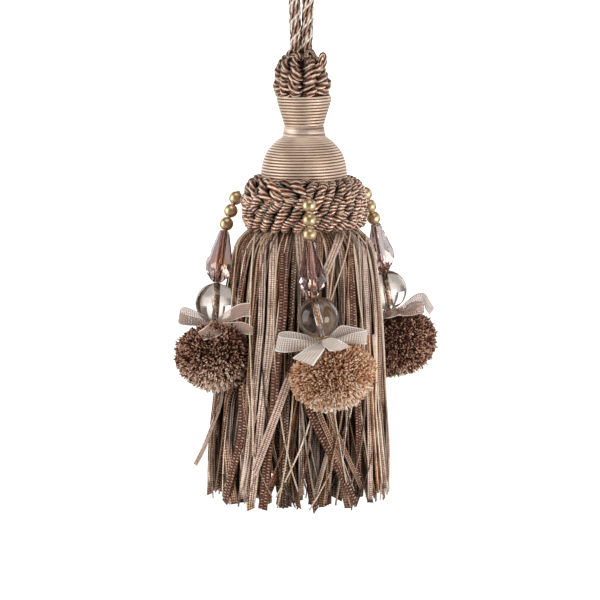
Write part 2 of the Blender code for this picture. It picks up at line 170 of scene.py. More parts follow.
paper, paper_tree = add_shader(
    "pale_paper", 1, Base_Color=(0.7, 0.7, 0.7, 1), Emission_Color=(1, 1, 1, 1),
)
paper_place = wire(paper_tree, "TexCoord", output="Object")
away = wire(paper_tree, "VectorMath", paper_place, operation="LENGTH", output="Value")
behind = wire(paper_tree, "SeparateXYZ", paper_place, output="Y") / away
far_glow = wire(paper_tree, "MapRange", away, 0.45, 1.1, 0.03, 1)  # soft grey near the tassel
back_glow = wire(paper_tree, "MapRange", behind, 0.82, 0.96, 0.1, 1)  # and less at its sides
(far_glow * back_glow).into("Emission Strength")

floor_mesh = bmesh.new()
bmesh.ops.create_grid(floor_mesh, x_segments=1, y_segments=1, size=14)
bmesh.ops.translate(floor_mesh, verts=floor_mesh.verts, vec=(0, 0, FLOOR_HEIGHT))
standing = Matrix.Rotation(math.pi / 2, 4, "X") @ Matrix.Diagonal((1, 1.6, 1, 1))
bmesh.ops.create_grid(  # the backdrop, far behind the tassel: the clear beads show it upside down
    floor_mesh, x_segments=1, y_segments=1, size=1, matrix=Matrix.Translation(BACKDROP_PLACE) @ standing,
)
floor_data = bpy.data.meshes.new("floor")
floor_mesh.to_mesh(floor_data)
floor_mesh.free()
floor_data.materials.append(paper)
floor = add_object("floor", floor_data)


# Hanging cord ---------------------------------------------
# A twisted silk cord folded to a loop: four fat plies of fine yarn, taupe and brown in turn, with a thin
# glossy cream ply in two of the grooves. Its two legs go down side by side into the topknot.

CORD_PITCH = 10.5
CORD_STEP = 0.3
CORD_LEG = (  # distance from the loop's middle line, height above the topknot
    (1.55, -0.6), (1.62, 3), (1.76, 7), (1.94, 12), (2.1, 15.5), (2.9, 18.8),
    (4.9, 22), (6.5, 25.4), (6.7, 29), (4.9, 32.9), (0, 35.27),
)
CORD_MIDDLE_X = -0.8
KNOT_TOP = -33.6
CURVE_PIECES = 12  # between two given points of a curve


def curve_point(before, start, end, after, t):
    """The point at a part t of the way from start to end, on a smooth curve through all four."""
    second, third = 2 * before - 5 * start + 4 * end - after, 3 * start - before - 3 * end + after
    return start + 0.5 * t * (end - before + second * t + third * t * t)


def length_of(line):
    return sum((b - a).length for a, b in zip(line, line[1:]))


def walk(line, distance):
    """The point this far along a line of points."""
    for a, b in zip(line, line[1:]):
        length = (b - a).length
        if distance <= length:
            return a.lerp(b, distance / length)
        distance -= length
    return line[-1].copy()


def evenly(line, count):
    """Points that cut a line into a count of equal lengths."""
    length = length_of(line)
    return [walk(line, length * k / count) for k in range(count + 1)]


def smooth_line(points, step):
    """Points about a step apart on a smooth curve through the given ones."""
    points = [Vector(point) for point in points]
    ends = [points[0] * 2 - points[1], *points, points[-1] * 2 - points[-2]]
    fine = []
    for four in zip(ends, ends[1:], ends[2:], ends[3:]):
        fine += [curve_point(*four, k / CURVE_PIECES) for k in range(CURVE_PIECES)]
    fine.append(points[-1])
    return evenly(fine, max(2, round(length_of(fine) / step)))


def directions(line):
    """The way ahead at each point of a line."""
    last = len(line) - 1
    return [(line[min(k + 1, last)] - line[max(k - 1, 0)]).normalized() for k in range(last + 1)]


def carried(line, start):
    """A side vector for each point of a line, carried along it without twist."""
    side, sides = Vector(start), []
    for ahead in directions(line):
        side = (side - ahead * side.dot(ahead)).normalized()
        sides.append(side.copy())
    return sides


def tube_blank(sides, spans):
    """A tube about Z, 1 in radius and length, cut into spans. Its UV map holds the part round and along."""
    bm = bmesh.new()
    bmesh.ops.create_cone(bm, cap_ends=True, segments=sides, radius1=1, radius2=1, depth=1)
    upright = [e for e in bm.edges if abs(e.verts[0].co.z - e.verts[1].co.z) > 0.5]
    if spans > 1:
        bmesh.ops.subdivide_edges(bm, edges=upright, cuts=spans - 1)
    bmesh.ops.translate(bm, verts=bm.verts, vec=(0, 0, 0.5))
    bmesh.ops.recalc_face_normals(bm, faces=bm.faces)
    uv = bm.loops.layers.uv.new("UVMap")
    for face in bm.faces:
        face.smooth = len(face.verts) == 4
        middle = face.calc_center_median()
        turn = math.atan2(middle.y, middle.x)
        for loop in face.loops:
            co = loop.vert.co
            offset = (math.atan2(co.y, co.x) - turn + math.pi) % TURN - math.pi
            loop[uv].uv = ((turn + offset) / TURN + 0.5, co.z)
    mesh = bpy.data.meshes.new("blank")
    bm.to_mesh(mesh)
    bm.free()
    return mesh


def new_piece():
    """An empty bmesh with the attributes that the finishes read."""
    bm = bmesh.new()
    bm.loops.layers.uv.new("UVMap")
    bm.verts.layers.float.new("tint")
    return bm


def add_copy(bm, blank, place, finish=0, tint=0.5):
    """Adds a copy of a blank, its points moved by place. tint is a number or a function of the point."""
    first, first_face = len(bm.verts), len(bm.faces)
    bm.from_mesh(blank)
    bm.verts.ensure_lookup_table()
    bm.faces.ensure_lookup_table()
    shade = bm.verts.layers.float["tint"]
    for vert in bm.verts[first:]:
        vert[shade] = tint(vert.co) if callable(tint) else tint
        vert.co = place(vert.co)
    for face in bm.faces[first_face:]:
        face.material_index = finish


def lay_tube(bm, blank, line, sides, radius, finish=0, tint=0.5, squash=1, turned=None):
    """Lays a tube blank along a line in millimetres. turned may turn its section at each point."""
    ups = [ahead.cross(side) for ahead, side in zip(directions(line), sides)]
    last = len(line) - 1

    def place(co):
        k = round(co.z * last)
        x, y = turned(co) if turned else co.xy
        return (line[k] + sides[k] * (x * radius) + ups[k] * (y * radius * squash)) * MM

    add_copy(bm, blank, place, finish, tint)


def lay_plies(bm, blank, line, start_side, reach, radius, phase, plies):
    """Twists plies round a line: each is a tube on a helix, with a material and a share of the radius."""
    sides = carried(line, start_side)
    ups = [ahead.cross(side) for ahead, side in zip(directions(line), sides)]
    step = (line[1] - line[0]).length
    for n, (finish, share) in enumerate(plies):
        helix = []
        for k, point in enumerate(line):
            angle = phase + TURN * (n / len(plies) + k * step / CORD_PITCH)
            aside = sides[k] * math.cos(angle) + ups[k] * math.sin(angle)
            helix.append(point + aside * reach * (2 - share))
        lay_tube(bm, blank, helix, carried(helix, start_side), radius * share, finish)


def finish_piece(name, bm, finishes, slot, *replaced):
    """Makes the mesh an object that rides with the tassel."""
    mesh = bpy.data.meshes.new(name)
    bm.to_mesh(mesh)
    bm.free()
    for finish in finishes:
        mesh.materials.append(finish)
    piece = add_object(name, mesh)
    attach(piece, "root")
    if replaced:
        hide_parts(*replaced)
    return piece


def uv_of(tree):
    """The UV map's two values: round or across, and along."""
    uv = wire(tree, "UVMap")
    return [wire(tree, "SeparateXYZ", uv, output=axis) for axis in ("X", "Y")]


def object_noise(tree, scale, detail=2):
    """Noise fixed to the object, 0 to 1."""
    coordinates = wire(tree, "TexCoord", output="Object")
    return wire(tree, "TexNoise", coordinates, None, scale, detail)


def tint_of(tree):
    """The piece's own tint attribute."""
    return wire(tree, "Attribute", attribute_name="tint", output="Fac")


def tinted(colour, low, high):
    """The colour made darker or lighter by the piece's tint."""
    return colour.shaded(tint_of(colour.tree) * (high - low) + low)


def shade_with(colour, height=None, depth=0.1, strength=0.6):
    """Links the shader's colour, and its bump where there is a height; depth is in millimetres."""
    colour.into("Base Color")
    if height is not None:
        bump = colour.tree.nodes.new("ShaderNodeBump")
        bump.inputs["Strength"].default_value = strength
        bump.inputs["Distance"].default_value = depth * MM
        colour.tree.links.new(height.socket, bump.inputs["Height"])
        Field(bump.outputs[0]).into("Normal")


def yarn(name, dark, middle, light, round_count, along_count, roughness=0.4, gloss=0.3):
    """Silk yarns lying side by side on a ply, twisted the other way from the cord."""
    made, tree = add_shader(name, roughness, gloss)
    round_it, along_it = uv_of(tree)
    stripe = (along_it * along_count + round_it * round_count).wave()
    blend = (object_noise(tree, 2200) - 0.5) * 0.9 + stripe
    colour = blend.ramp((0, dark), (0.45, middle), (0.95, light))
    shade_with(tinted(colour, 0.75, 1.25), blend, 0.12)
    return made


cord_finishes = (
    yarn("cord_taupe", "543628", "ac8e7a", "f6e6d4", 4, 30),
    yarn("cord_brown", "220e08", "6c402a", "c49c7e", 4, 30),
    yarn("cord_cream", "c4ac96", "f0e2d0", "fffaf0", 2, 60, 0.3),
)
both_legs = [*CORD_LEG, *((-x, z) for x, z in CORD_LEG[-2::-1])]
cord_line = smooth_line([(CORD_MIDDLE_X + x, 0, KNOT_TOP + z) for x, z in both_legs], CORD_STEP)
cord_blank = tube_blank(10, len(cord_line) - 1)
cord_mesh = new_piece()
for reach, radius, phase, plies in (
    (0.93, 0.84, 0.6, ((0, 1), (1, 0.93), (0, 1), (1, 0.93))),
    (1.42, 0.36, 1.385, ((2, 1), (2, 1))),
):
    lay_plies(cord_mesh, cord_blank, cord_line, (0, 1, 0), reach, radius, phase, plies)
cord_piece = finish_piece("cord_plies", cord_mesh, cord_finishes, "twisted_cord", "hanging_cord")
length_of(cord_line) * MM


# Topknot --------------------------------------------------
# A small ball of looped cord sewn round the legs where they enter the head. Each loop is a fold of the same
# twisted cord, and the loops open like petals, left and right, from a dark seam at the front, where the
# backing shows with its painted shade.

TOPKNOT_OUTLINE = (  # radius, height below its top
    (0, 0), (3.4, -0.2), (5.6, -1.5), (6.5, -4), (6.7, -6.7),
    (6.5, -9.2), (5.9, -11.4), (5.2, -12.9), (0, -12.9),
)
FOLD_PLIES = 4
FOLD_YARNS = 16
FOLD_TURNS = 2.4
FOLD_SPANS = 28
KNOT_SEAM = -84  # degrees, a little right of the front
SEAM_GAP = 8
KNOT_PETALS = (  # height below the top, radius of the backing, count, slant at the seam, length, radius
    (-1.9, 2.7, 7, 78, 3, 0.8), (-3.4, 4.1, 9, 60, 3.3, 0.95), (-5, 5, 11, 56, 3.8, 1.12),
    (-6.7, 5.7, 12, 52, 4.1, 1.22), (-8.5, 6.2, 12, 48, 4.2, 1.25), (-10.3, 6.5, 12, 42, 4.1, 1.2),
    (-12, 6.4, 13, 28, 3.4, 1.02),
)
LOOSE_LOOPS = (  # radius, turns, sunk (painted shade at the flanks), points from the top. The first stands up at the right
    (0.68, 1, False, (
        (5, -3.4, -5.2), (4.8, -4.2, -3.4), (4.85, -4.5, -1.9), (5.5, -4.4, -1),
        (6.1, -4.2, -1.9), (6, -4, -3.6), (5.5, -3.2, -5.2),
    )),
    (0.62, 4, True, (
        (0.2, -3.2, -3), (0.3, -4.4, -1.4), (1.4, -4.9, 0.1), (2.7, -4.6, -0.9), (3.1, -3.8, -3.2),
    )),
    (0.8, 1.4, True, (
        (-4, -2.2, -2.8), (-3.2, -3.3, -1.5), (-1.8, -3.7, -1.1), (-0.6, -3.6, -1.9), (0, -2.8, -3.4),
    )),
)
PETAL_SHAPE = (  # part of the half length along, part of the bend aside, height: fixed or part of the rise
    (-1, 0, -1.9, 0), (-0.92, 0.1, -0.2, 0), (-0.45, 0.8, 0, 0.95), (0.1, 1, 0, 1.08),
    (0.6, 0.7, 0, 0.9), (0.95, 0.1, -0.4, 0), (1, 0, -1.9, 0),
)

# painted shade: a near-black backing under the folds, on the cup's top and in the skirt's header, so the gaps
# and insides read dark
painted_shade_backing, backing_tree = add_shader("painted_shade_backing", 0.95)
shade_with(object_noise(backing_tree, 900).ramp((0.3, "160c09"), (0.7, "341e15")))
fold_silk, fold_tree = add_shader("fold_silk", 0.36, 0.35)  # taupe, cream and a rust thread, with painted shade in the grooves and a painted highlight on the crowns
fold_round, fold_along = uv_of(fold_tree)
fine_yarns = (fold_round * FOLD_YARNS + fold_along * (FOLD_YARNS * FOLD_TURNS)).wave()
ply_part = (fold_round * FOLD_PLIES).calc("FRACT") + object_noise(fold_tree, 900, 3) * 0.3 - 0.15
# the near-black between plies is painted shade; the cream at each ply's crown is the cord's own cream and
# partly a painted highlight
fold_colour = ply_part.ramp(
    (0.05, "160a06"), (0.12, "b84816"), (0.2, "7c3e22"), (0.3, "aa7c62"),
    (0.48, "fceeda"), (0.62, "cea88c"), (0.8, "845842"), (0.94, "160a06"),
)
# the tint carries each fold's own level and the painted shade at its flanks
fold_colour = tinted(fold_colour.shaded(fine_yarns * 0.5 + 0.72), 0.04, 1.56)
shade_with(fold_colour, fine_yarns, 0.08, 0.5)


def set_smooth(bm):
    for face in bm.faces:
        face.smooth = True


def spun(profile, steps):
    """A closed shell turned about Z from (radius, height) in millimetres."""
    bm = bmesh.new()
    points = [bm.verts.new((r * MM, 0, z * MM)) for r, z in profile]
    edges = [bm.edges.new(pair) for pair in zip(points, points[1:])]
    bmesh.ops.spin(
        bm, geom=points + edges, cent=(0, 0, 0), axis=(0, 0, 1), angle=TURN, steps=steps, use_merge=True,
    )
    bmesh.ops.remove_doubles(bm, verts=bm.verts, dist=1e-6)
    bmesh.ops.recalc_face_normals(bm, faces=bm.faces)
    set_smooth(bm)
    return bm


def polar(radius, degrees, height):
    angle = math.radians(degrees)
    return Vector((radius * math.cos(angle), radius * math.sin(angle), height))


def clamped(value):
    return max(0, min(1, value))


fold_blank = tube_blank(4 * FOLD_PLIES, FOLD_SPANS)
for point in fold_blank.vertices:  # the round blank gets a ridge for each ply
    turn = math.atan2(point.co.y, point.co.x)
    swell = 0.87 - 0.13 * math.cos(FOLD_PLIES * turn)
    point.co.x, point.co.y = point.co.x * swell, point.co.y * swell


def lay_fold(bm, points, out, radius, rnd, turns, sunk=True):
    """A fold of cord through the points, its plies turned round it. A sunk one gets painted shade at its
    flanks.
    """
    line = evenly(smooth_line(points, 0.1), FOLD_SPANS)
    sides = carried(line, out)
    phase = rnd.uniform(0, TURN)
    level = rnd.uniform(0.5, 1)

    def turned(co):
        angle = phase + TURN * turns * co.z
        cos, sin = math.cos(angle), math.sin(angle)
        return co.x * cos - co.y * sin, co.x * sin + co.y * cos

    def tint(co):  # painted shade: darker on the flank that faces in and where the fold goes down between its neighbours
        if not sunk:
            return level
        facing = sides[round(co.z * FOLD_SPANS)].dot(out) * turned(co)[0]
        return level * clamped(0.2 + 0.95 * facing) * clamped((min(co.z, 1 - co.z) - 0.08) / 0.18)

    lay_tube(bm, fold_blank, line, sides, radius, 0, tint, turned=turned)


def petal(bm, middle, out, degrees, length, radius, rise, rnd, bend, turns):
    """A fold that lies on a backing: up out of it, along, and back in. 90 degrees is upright."""
    level = Vector((0, 0, 1)).cross(out).normalized()
    turn = math.radians(degrees)
    along_it = level * math.cos(turn) + out.cross(level) * math.sin(turn)
    across = out.cross(along_it)
    half = length / 2
    points = [
        middle + along_it * (a * half) + across * (b * bend) + out * (fixed + part * rise)
        for a, b, fixed, part in PETAL_SHAPE
    ]
    lay_fold(bm, points, out, radius, rnd, turns)


knot_centre = Vector((CORD_MIDDLE_X, 0, 0))
rnd = random.Random(11)
knot_mesh = new_piece()
for drop, reach, count, slant, length, radius in KNOT_PETALS:
    for n in range(count):
        part = (n + 0.5 + rnd.uniform(-0.12, 0.12)) / count
        degrees = KNOT_SEAM + SEAM_GAP / 2 + part * (360 - SEAM_GAP)
        out = polar(1, degrees, 0.9 + 0.11 * drop).normalized()
        lean = slant + rnd.uniform(-14, 14)
        right_side = (degrees - KNOT_SEAM) % 360 < 180
        petal(
            knot_mesh, polar(reach - 0.3, degrees, KNOT_TOP + drop) + knot_centre, out,
            lean if right_side else 180 - lean, length * rnd.uniform(0.9, 1.15),
            radius * rnd.uniform(0.9, 1.1), rnd.uniform(0.5, 1.5), rnd, bend=rnd.uniform(0.2, 0.7),
            turns=rnd.uniform(0.6, 1.4) * (1 if right_side else -1),
        )
loose_out = Vector((0.25, -1, 0.1)).normalized()
for radius, turns, sunk, points in LOOSE_LOOPS:
    points = [(x, y, KNOT_TOP + z) for x, y, z in points]
    lay_fold(knot_mesh, points, loose_out, radius, rnd, turns, sunk)
finish_piece("topknot_loops", knot_mesh, (fold_silk,), "looped_cord")
knot_ball = spun(
    [(r * (0.9 if z < -5 else 0.66), KNOT_TOP - 1.5 + z * 0.88) for r, z in TOPKNOT_OUTLINE], 40,
)
bmesh.ops.translate(knot_ball, verts=knot_ball.verts, vec=knot_centre * MM)
finish_piece("topknot_ball", knot_ball, (painted_shade_backing,), "looped_cord", "topknot")


# Wound head -----------------------------------------------
# A turned mould under one layer of silk gimp, wound round and round from the cup down over the dome. Each
# turn stands proud as a ridge, and the tan core shows in the grooves between, with painted shade deepest at
# their bottoms.

CUP = ((7.7, -46.8), (8.1, -47.6), (7.95, -48.9), (6.95, -52.2), (5.8, -55.9))
DOME = (
    (5.9, -58.6), (7.35, -59.6), (8.6, -60.6), (10.3, -62.5), (11.5, -64.4),
    (12.2, -66.5), (12.6, -68.6), (12.7, -70.5), (12.7, -74.2),
)
WINDING_SEGMENTS = 120
ROWS_A_TURN = 8


def wound_shell(profile, turns, ridge, flat_turns=0):
    """A shell turned from a profile, with a helical winding raised on it. Its UV map holds the part of the
    way round and the number of the turn. The first turns may lie flatter."""
    points = smooth_line([(r, 0, z) for r, z in profile], 0.05)
    rows = evenly(points, turns * ROWS_A_TURN)
    outs = [Vector((-ahead.z, 0, ahead.x)) for ahead in directions(rows)]
    bm = bmesh.new()
    bmesh.ops.create_grid(bm, x_segments=WINDING_SEGMENTS, y_segments=len(rows) - 1, size=0.5)
    uv = bm.loops.layers.uv.new("UVMap")
    level = bm.verts.layers.float.new("tint")
    for face in bm.faces:
        face.smooth = True
        for loop in face.loops:
            loop[uv].uv = (loop.vert.co.x + 0.5, (0.5 - loop.vert.co.y) * turns)
    for vert in bm.verts:
        part, down = vert.co.x + 0.5, (0.5 - vert.co.y) * (len(rows) - 1)
        k = round(down)
        phase = (down / ROWS_A_TURN + part) % 1
        flat = 0.25 + 0.75 * min(1, down / ROWS_A_TURN / flat_turns) if flat_turns else 1
        proud = (ridge * math.sqrt(max(0, 1 - (2 * phase - 1) ** 2)) - ridge) * flat
        vert[level] = flat
        point = rows[k] + outs[k] * proud
        vert.co = polar(point.x, part * 360 - 90, point.z) * MM
    bmesh.ops.remove_doubles(bm, verts=bm.verts, dist=1e-7)
    bmesh.ops.recalc_face_normals(bm, faces=bm.faces)
    return bm


winding, winding_tree = add_shader("winding_silk", 0.34, 0.4, Anisotropic=0.5)
part_round, turn_down = uv_of(winding_tree)
from_crown = abs((turn_down + part_round).calc("FRACT") * 2 - 1)
patchy = (object_noise(winding_tree, 260, 4) - 0.5) * 0.35
# from crown to groove the colour darkens through the core's tan to a painted shade of dark brown; the flatter
# first turns get less of it
groove = (patchy + from_crown) * tint_of(winding_tree)
winding_colour = groove.ramp((0, "f2decc"), (0.46, "d4b89e"), (0.72, "966842"), (0.95, "482410"))
twist_line = (part_round * 110 + turn_down * 2).wave()
shade_with(winding_colour.shaded(twist_line * 0.16 + 0.9), twist_line, 0.05, 0.5)

finish_piece("cup_winding", wound_shell(CUP, 10, 0.3), (winding,), "winding_silk")
finish_piece("dome_winding", wound_shell(DOME, 20, 0.26, 5), (winding,), "winding_silk", "wound_head")
cup_top = spun([(0, -46.75), (7.55, -46.75), (7.45, -47.2), (0, -47.2)], 60)
finish_piece("cup_top", cup_top, (painted_shade_backing,), "winding_silk")


# Neck band ------------------------------------------------
# Satin floss wrapped flat round the neck, smooth and shiny, with fine lines where the threads lie.

BAND = (
    (5.2, -55.5), (5.6, -55.7), (5.85, -56.2), (6, -56.8), (6.05, -57.4),
    (6.15, -58), (6.35, -58.5), (6.2, -59), (5.3, -59.1),
)
band_profile = smooth_line([(r, 0, z) for r, z in BAND], 0.12)
floss, floss_tree = add_shader("band_silk", 0.42, 0.55, Anisotropic=0.7)
floss_place = wire(floss_tree, "TexCoord", output="Object")
floss_place = wire(floss_tree, "Mapping", floss_place, None, None, (60, 60, 2600))
floss_lines = wire(floss_tree, "TexNoise", floss_place, None, 1, 3)
floss_colour = floss_lines.ramp((0.3, "684c3e"), (0.48, "bea290"), (0.66, "f6e4d4"))
shade_with(floss_colour, floss_lines, 0.2, 0.8)
finish_piece("band_floss", spun([(p.x, p.z) for p in band_profile], 96), (floss,), "band_silk", "neck_band")


# Ruff -----------------------------------------------------
# Rows of fat cord folds sewn over the skirt's header. On the left the upper rows lie over to the right and
# the lower ones the other way. On the right they stand as close arches.

RUFF_SURFACE = (  # radius, height of the backing that the folds are sewn to
    (12.4, -72.8), (14.4, -72.9), (15.5, -74.4), (16, -76.9), (16.1, -79.5), (16, -82.1), (15.6, -84.4),
)
LEFT_ROWS = (  # part of the way down, folds in half a turn, slant, length, radius, turns of the plies
    (0.08, 13, 164, 4.8, 1.15, -0.8), (0.23, 12, 150, 6, 1.25, -0.7), (0.38, 12, 146, 5.8, 1.35, -0.8),
    (0.54, 15, 46, 4.6, 1.45, 2.8), (0.72, 14, 50, 4.8, 1.6, 2.9), (0.93, 15, 42, 4.6, 1.5, 2.8),
)
RIGHT_ROWS = (
    (0.08, 15, 46, 4, 1.15, 2.3), (0.24, 16, 62, 3.6, 1.4, 2.4), (0.42, 17, 50, 3.6, 1.45, 2.4),
    (0.6, 17, 60, 3.6, 1.45, 2.4), (0.78, 17, 50, 3.8, 1.45, 2.5), (0.94, 17, 40, 3.8, 1.4, 2.5),
)


def surface_at(profile, share):
    """(radius, height, outward slope) at a part of the way down a profile of (radius, height)."""
    lengths = [math.dist(a, b) for a, b in zip(profile, profile[1:])]
    far = share * sum(lengths)
    for (r0, z0), (r1, z1), length in zip(profile, profile[1:], lengths):
        if far <= length:
            t = far / length
            return r0 + (r1 - r0) * t, z0 + (z1 - z0) * t, ((z0 - z1) / length, (r1 - r0) / length)
        far -= length
    return *profile[-1], (1, 0)


rnd = random.Random(23)
ruff_mesh = new_piece()
for first, rows in ((90, LEFT_ROWS), (-90, RIGHT_ROWS)):
    for row, (share, count, slant, length, radius, turns) in enumerate(rows):
        reach, height, (out_r, out_z) = surface_at(RUFF_SURFACE, share)
        for n in range(count):
            degrees = first + (n + 0.5 * (row % 2) + 0.25 + rnd.uniform(-0.15, 0.15)) * 180 / count
            petal(
                ruff_mesh, polar(reach, degrees, height + rnd.uniform(-0.3, 0.3)),
                polar(out_r, degrees, out_z).normalized(), slant + rnd.uniform(-16, 16),
                length * rnd.uniform(0.88, 1.12), radius * rnd.uniform(0.88, 1.05), rnd.uniform(0.7, 1.5),
                rnd, bend=rnd.uniform(-0.3, 0.8), turns=turns * rnd.uniform(0.9, 1.15),
            )
finish_piece("ruff_loops", ruff_mesh, (fold_silk,), "looped_cord")
backing_profile = [*RUFF_SURFACE, (14, -84.8), (12.5, -83), (12.4, -72.8)]
finish_piece("ruff_backing", spun(backing_profile, 72), (painted_shade_backing,), "looped_cord", "ruff")


# Drops: where each piece of the three bead strings hangs --
# Three strings are sewn to the ruff, a third of a turn apart. The tables repeat the model's.

DROP_STRINGS = {  # radius, angle, height
    "front": (
        (20.1, -86, -75), (21, -86, -77.4), (22.9, -86, -85.7),
        (25.2, -86, -95.5), (27.3, -81.8, -109.2), (31.4, -72, -130.5),
    ),
    "right": (
        (19.9, 28.5, -74.8), (20.9, 29, -77.3), (24.3, 31.6, -84.2),
        (27.8, 34.5, -92.8), (31.6, 38.7, -105.5), (39, 43, -128),
    ),
    "left": (
        (20.2, 162, -75.7), (21.1, 164.2, -78.1), (23.1, 173.5, -85.3),
        (25.1, 178.6, -94.7), (26.3, 188.5, -107.6), (29.4, 206.5, -128.5),
    ),
}
ON_STRING = {  # distance of a piece's middle from the string's top, half its length
    "gold_1": (2.35, 1.95), "gold_2": (6.55, 1.95), "gold_3": (10.75, 1.95),
    "crystal": (20.75, 7.75), "glass": (34.85, 6), "knot": (42.9, 1.2), "pompom": (52, 4),
}
strings = {
    drop: smooth_line([polar(*point) for point in points], 0.5) for drop, points in DROP_STRINGS.items()
}


def station(drop, piece):
    """(top, bottom) of a piece, where its string goes in and comes out."""
    at, half = ON_STRING[piece]
    return walk(strings[drop], at - half), walk(strings[drop], at + half)


def hung(drop, piece):
    """The matrix that puts a piece made about Z in metres on its string."""
    top, bottom = station(drop, piece)
    upright = Vector((0, 0, 1)).rotation_difference(top - bottom).to_matrix().to_4x4()
    return Matrix.Translation((top + bottom) / 2 * MM) @ upright


# Skirt ----------------------------------------------------
# Narrow woven ribbons, 2 to 4 mm wide with corded edges and cross ribs, in silvery taupe, tan and dark brown,
# hung in layers from one header. Some have slipped across the others, and thin cream ones show on edge.

SKIRT_OUTLINE = (  # height, radius
    (-85.3, 13.8), (-86.5, 16.6), (-88.3, 19.4), (-92, 20.8), (-96, 21.7), (-103.5, 22.9),
    (-111, 23.7), (-122, 24.4), (-134, 25.1), (-148, 26.2), (-158, 26.5), (-166, 26.6),
)
DROP_ROOM = (  # height, half width
    (-84, 0), (-86.6, 2.9), (-90, 3.6), (-97, 5.2), (-104, 6.3), (-109.2, 7.5), (-114.5, 7.7),
    (-120, 12.2), (-125, 12.6), (-129.5, 7.5), (-133, 2), (-134.5, 0),
)
DROP_TOP, DROP_FOOT = -80, -146  # heights between which the drops press on the ribbons
SKIRT_LEAN = -1.2  # to the left at the tips, growing from LEAN_START
LEAN_START = -88.3
LEFT_FLARE = 1.3  # how much further the tips stand out at the left
STRAND_START = -84
STRAND_TIP = -163.6
RIBBON_LENGTH = 80  # for the number of ribs
RIBBON_SPANS = 32
CLOSE_PART, CLOSE_POWER = 0.25, 1.25  # the part of the spans that lies closer together, under the ruff
TIP_PART = 0.3  # of an inner ribbon, which has less painted shade towards its end
HEADER = ((0, -74.9), (14.6, -74.9), (14.9, -80), (14, -84.6), (12, -88), (9.5, -100), (0, -104))
STRAY = (  # a ribbon that stands off at the lower left
    (-23.5, -6, -128), (-24.6, -6.5, -137), (-27, -7, -144), (-29.6, -7.4, -150.5), (-32.6, -7.6, -156.4),
)
STRAY_LENGTH = 29


def along(table, height):
    """The value at a height, from rows of height and value that go downwards."""
    if height >= table[0][0]:
        return table[0][1]
    for (top, upper), (bottom, lower) in zip(table, table[1:]):
        if height >= bottom:
            return upper + (lower - upper) * (top - height) / (top - bottom)
    return table[-1][1]


def hung_part(height, start):
    """How far down from its start a strand is at a height: 0 there, 1 at the skirt's tips."""
    return (height - start) / (STRAND_TIP - start)


def lean_at(height):
    return SKIRT_LEAN * max(0, hung_part(height, LEAN_START))


string_points = [
    [min(line, key=lambda point: abs(point.z - z)) for z in range(DROP_TOP, DROP_FOOT, -1)]
    for line in strings.values()
]


def room_for(degrees, height, half_width):
    """The largest radius for a ribbon at this angle and height, inside the drops that press on it."""
    room = math.inf
    reach = along(DROP_ROOM, height)
    for points in string_points if reach > 0 and DROP_FOOT < height < DROP_TOP else ():
        centre = points[min(len(points) - 1, round(DROP_TOP - height))]
        out = math.hypot(centre.x, centre.y)
        apart = math.radians(degrees) - math.atan2(centre.y, centre.x)
        aside = abs(out * math.sin(apart)) - half_width
        if math.cos(apart) > 0 and aside < reach:
            room = min(room, out * math.cos(apart) - math.sqrt(reach ** 2 - max(aside, 0) ** 2))
    return room


def flatten_uv(blank, reach):
    """Makes a blank's UV map hold the place across, up to a reach at the edges, and the part along."""
    for corner, spot in zip(blank.loops, blank.uv_layers[0].data):
        co = blank.vertices[corner.vertex_index].co
        spot.uv = (co.x * reach, co.z)


ribbon_blank = tube_blank(12, RIBBON_SPANS)
for point in ribbon_blank.vertices:  # a flat ribbon with a cord in each edge, from the round blank
    x, y = point.co.x, point.co.y
    edge = abs(x) > 0.8
    proud = 1 if edge else 0.5 if abs(x) < 0.2 else 0.42
    point.co.x = max(-1, min(1, x * (1 if edge else 0.92)))
    point.co.y = 0 if abs(y) < 0.1 else math.copysign(proud, y)
flatten_uv(ribbon_blank, 1)
slim_blank = tube_blank(6, RIBBON_SPANS)
flatten_uv(slim_blank, 0.7)


def ribbon(bm, course, depth, top, tip, width, twist, facing, finish, tint, rnd, tip_light=0):
    """One ribbon, or a round cord where it is slim, from under the ruff to its tip. course gives its angle
    at a height, facing turns it on edge, and tip_light is how much painted light its end gets against an
    inner ribbon's painted shade."""
    blank, thick = (slim_blank, width / 2) if width < 1 else (ribbon_blank, 0.2)
    waver, cut = rnd.uniform(0, TURN), rnd.uniform(-0.3, 0.3)
    close_end = CLOSE_PART ** CLOSE_POWER
    line, turns, tangents = [], [], []
    for k in range(RIBBON_SPANS + 1):
        t = k / RIBBON_SPANS
        fall = close_end + (t - CLOSE_PART) * (1 - close_end) / (1 - CLOSE_PART)
        height = top + (tip - top) * (t ** CLOSE_POWER if t < CLOSE_PART else fall)
        angle = course(height)
        flare = LEFT_FLARE * t * max(0, -math.cos(math.radians(angle)))
        outer, room = along(SKIRT_OUTLINE, height) - 0.3 + flare, room_for(angle, height, width / 2)
        radius = min(outer, room) - depth * min(1, 0.25 + 1.6 * t) * (1 if outer < room else 0.6)
        line.append(polar(radius, angle, height) + Vector((lean_at(height), 0, 0)))
        turns.append((facing + twist * math.sin(waver + 5 * t)) * min(1, 3 * t))
        tangents.append(polar(1, angle + 90, 0))
    for _ in range(2):  # softens the bends at the drops
        line = [line[0], *((a + b * 2 + c) / 4 for a, b, c in zip(line, line[1:], line[2:])), line[-1]]
    aheads = directions(line)
    sides = [
        Matrix.Rotation(turned, 3, ahead) @ (tangent - ahead * tangent.dot(ahead)).normalized()
        for tangent, ahead, turned in zip(tangents, aheads, turns)
    ]

    def place(co):
        k = round(co.z * RIBBON_SPANS)
        slanted = aheads[k] * (co.x * cut * width) if k == RIBBON_SPANS else Vector()
        up = sides[k].cross(aheads[k])
        return (line[k] + sides[k] * (co.x * width / 2) + up * (co.y * thick) + slanted) * MM

    def lighter(co):
        return tint * (1 + tip_light * max(0, 1 - (1 - co.z) / TIP_PART))

    add_copy(bm, blank, place, finish, lighter)


